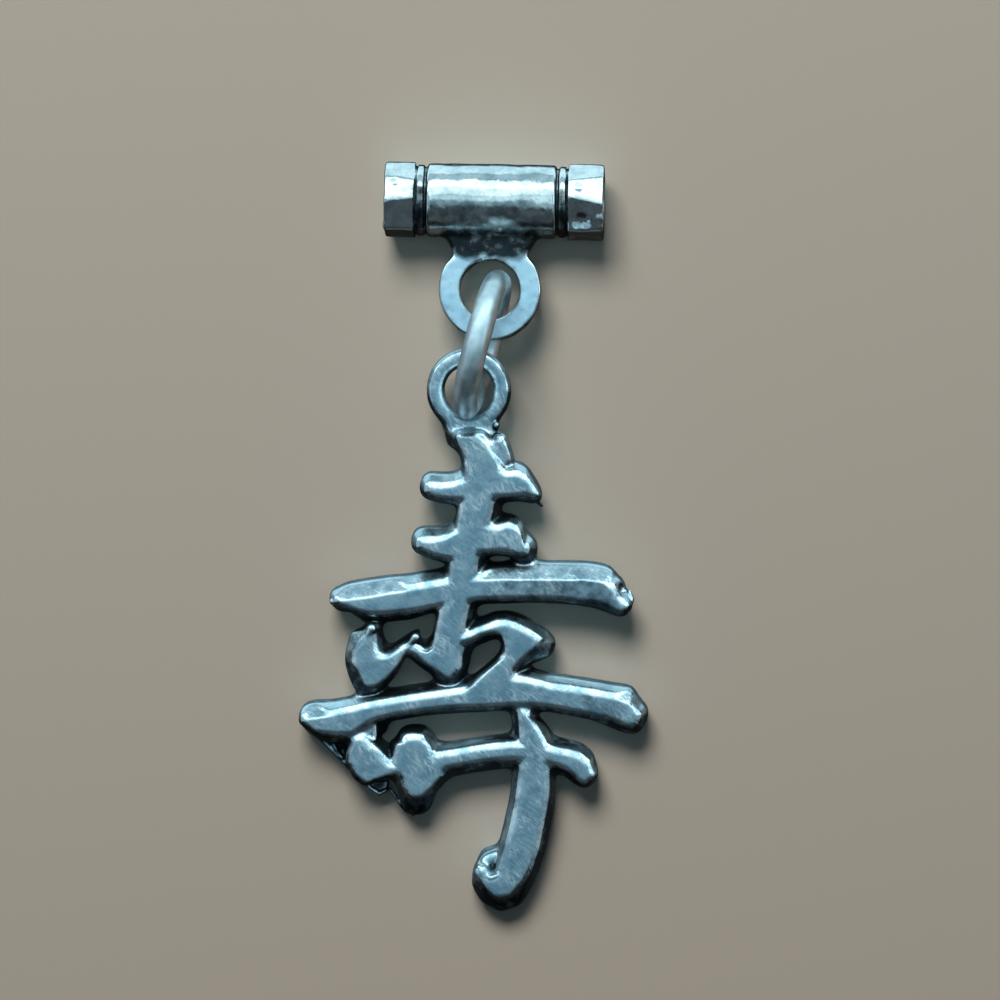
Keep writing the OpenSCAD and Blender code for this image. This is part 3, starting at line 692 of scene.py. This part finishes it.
def makeBail(look):
    bm = bmesh.new()
    spinTube(bm, look["outside"], look["bore"], steps=144)
    flatRing(bm, look)
    solderSaddle(bm, look)
    mergeInto(bm, filedCollar(look["leftCollar"], look["leftFlats"], look))
    mergeInto(bm, filedCollar(look["rightCollar"], look["rightFlats"], look))
    bmesh.ops.recalc_face_normals(bm, faces=bm.faces)
    piece = newPiece("bail_tube", bm)
    fuse(piece, look["voxel"])
    softenForm(piece, look["planRounds"], look["depthRounds"])
    roundWhere(piece, solderArea, look["solderRounds"])
    roundWhere(piece, collarArea, look["collarRounds"])
    pressDents(piece, bailDents)
    unevenSkin(piece, look["waves"])
    thin(piece, look["mostTriangles"])
    markFinish(piece, look)
    placing = Matrix.Translation(look["at"]) @ Matrix.Rotation(math.radians(look["roll"]), 4, "X")
    place(piece, placing, silver("tumbled_sterling_silver_tube", tubeSilverLook), "bail", "bail_silver")


# Jump ring: drawn wire, closed and soldered

ringLook = {
    "r": 3.15, "wire": 0.625, "turn": 13.4, "lean": 3, "at": (0.21, 9.79),
    "waves": [(0.9, 0.015), (0.35, 0.006)],
    # A clean wire: nothing is marked on it but shelter, which an open ring hardly has
    "shelterReach": 1.0, "oxideFrom": 0.3, "oxideTo": 0.9, "lowFrom": -9, "lowHeight": 1, "lowShare": 0,
    "lowerShare": 0, "lowSide": nowhere, "faceBelow": -99, "faceCleaned": 0,
    "wearGain": 0, "wearFrom": -9, "wearCleaned": 0, "darkBands": [], "darkPatches": [],
}


def makeJumpRing(look):
    bm = bmesh.new()
    turnUp = Matrix.Translation((look["r"], 0, 0)) @ Matrix.Rotation(math.radians(90), 4, "X")
    bmesh.ops.create_circle(bm, segments=48, radius=look["wire"], matrix=turnUp)
    bmesh.ops.spin(bm, geom=bm.verts[:] + bm.edges[:], cent=(0, 0, 0), axis=(0, 0, 1),
                   angle=math.tau, steps=260, use_merge=True)
    bmesh.ops.recalc_face_normals(bm, faces=bm.faces)
    piece = newPiece("jump_ring_wire", bm)
    unevenSkin(piece, look["waves"])
    markFinish(piece, look)
    lean = math.radians(look["lean"])
    centre = Matrix.Translation((*look["at"], look["r"] * math.cos(lean) + look["wire"]))
    turn = Matrix.Rotation(math.radians(-look["turn"]), 4, "Z")
    placing = centre @ turn @ Matrix.Rotation(math.radians(90) - lean, 4, "Y")
    place(piece, placing, silver("drawn_sterling_silver_wire", wireSilverLook), "jump_ring", "ring_silver")


castCharm(charmLook)
makeBail(bailLook)
makeJumpRing(ringLook)


# Studio: pale satin floor under a soft lamp, and window-like panels that only the metal mirrors

studioLook = {
    "floor": "#e0d4c2", "floorRough": 0.3, "world": "#3d3933", "worldStrength": 0.26,
    # name: azimuth from +Y towards -X, elevation, distance mm, width mm, height mm, radiance, colour
    "mirrored": {
        "window": (8, 34.5, 320, 900, 130, 2.2, "#d6f6fd"),
        "rightWindow": (-62, 32, 330, 300, 136, 1.6, "#d6f6fd"),
        "leftWall": (85, 22, 400, 420, 240, 0.7, "#cfe8f4"),
        "rightWall": (-100, 22, 400, 300, 200, 0.45, "#cfe8f4"),
        "leftUpper": (90, 58, 400, 400, 300, 0.55, "#b0dcf0"),
        "rightUpper": (-90, 58, 400, 400, 300, 0.5, "#b0dcf0"),
        "upperWindow": (4, 56, 330, 400, 165, 1.35, "#dcf6fd"),
        "horizon": (5, 10, 400, 1000, 140, 0.8, "#b4dcec"),
        "farCeiling": (0, 81, 500, 300, 150, 1.1, "#c6ecf6"),
        "nearCeiling": (180, 82.5, 500, 320, 130, 0.6, "#b0daec"),
        "nearRoom": (180, 45, 400, 500, 320, 0.1, "#b9d8e8"),
        # What the sides mirror low down, in place of the floor
        "farLow": (5, -24, 400, 1000, 330, 1.4, "#bfe0ea"),
        "leftLow": (90, -24, 400, 600, 330, 0.45, "#a8b8bd"),
        "rightLow": (-90, -24, 400, 600, 330, 0.35, "#b5ada2"),
        "nearLow": (180, -24, 400, 900, 330, 0.14, "#a8a49b"),
    },
    "lamps": {"tableLamp": (14, 51, 420, 180, 180, 9.6, "#ffffff")},
}


def addPanel(name, azimuth, elevation, distance, width, height, radiance, color):
    light = bpy.data.lights.new(name, "AREA")
    light.shape = "RECTANGLE"
    light.size = width * mm
    light.size_y = height * mm
    light.color = linear(color)[:3]
    light.energy = radiance * math.pi * light.size * light.size_y
    lamp = bpy.data.objects.new(name, light)
    a, e = math.radians(azimuth), math.radians(elevation)
    way = Vector((-math.sin(a) * math.cos(e), math.cos(a) * math.cos(e), math.sin(e)))
    lamp.location = way * distance * mm
    lamp.rotation_euler = way.to_track_quat("Z", "Y").to_euler()
    bpy.context.scene.collection.objects.link(lamp)
    return lamp


def makeStudio(look):
    bm = bmesh.new()
    bmesh.ops.create_grid(bm, x_segments=2, y_segments=2, size=2)
    floor = newPiece("floor", bm)
    material = bpy.data.materials.new("pale_paper")
    material.use_nodes = True
    shader = material.node_tree.nodes["Principled BSDF"]
    shader.inputs["Base Color"].default_value = linear(look["floor"])
    shader.inputs["Roughness"].default_value = look["floorRough"]
    floor.data.materials.append(material)
    # The metal mirrors the low panels instead of the floor
    floor.visible_glossy = False
    floor.visible_shadow = False
    world = bpy.data.worlds.new("dimRoom")
    world.use_nodes = True
    background = world.node_tree.nodes["Background"]
    background.inputs["Color"].default_value = linear(look["world"])
    background.inputs["Strength"].default_value = look["worldStrength"]
    bpy.context.scene.world = world
    for name, numbers in look["mirrored"].items():
        addPanel(name, *numbers).visible_diffuse = False
    for name, numbers in look["lamps"].items():
        addPanel(name, *numbers).visible_glossy = False


# Matched to the photo: eye and aim in mm of the row's frame, roll in degrees, lens in mm on a 36 mm sensor
cameraLook = {"eye": (11.137, 13.389, 262.0), "aim": (1.149, 2.037, 2.0), "roll": 0.936, "lens": 188.32}


def placeCamera(look):
    eye, aim = Vector(look["eye"]) * mm, Vector(look["aim"]) * mm
    forward = (aim - eye).normalized()
    right = forward.cross(Vector((0, 1, 0))).normalized()
    up = right.cross(forward)
    roll = math.radians(look["roll"])
    across = right * math.cos(roll) + up * math.sin(roll)
    upward = up * math.cos(roll) - right * math.sin(roll)
    data = bpy.data.cameras.new("camera")
    data.lens = look["lens"]
    data.sensor_width = 36
    data.clip_start = 0.01
    camera = bpy.data.objects.new("camera", data)
    camera.matrix_world = Matrix.Translation(eye) @ Matrix((across, upward, -forward)).transposed().to_4x4()
    bpy.context.scene.collection.objects.link(camera)
    bpy.context.scene.camera = camera


makeStudio(studioLook)
placeCamera(cameraLook)
bpy.context.scene.view_settings.view_transform = "Standard"
print("studio and camera placed")
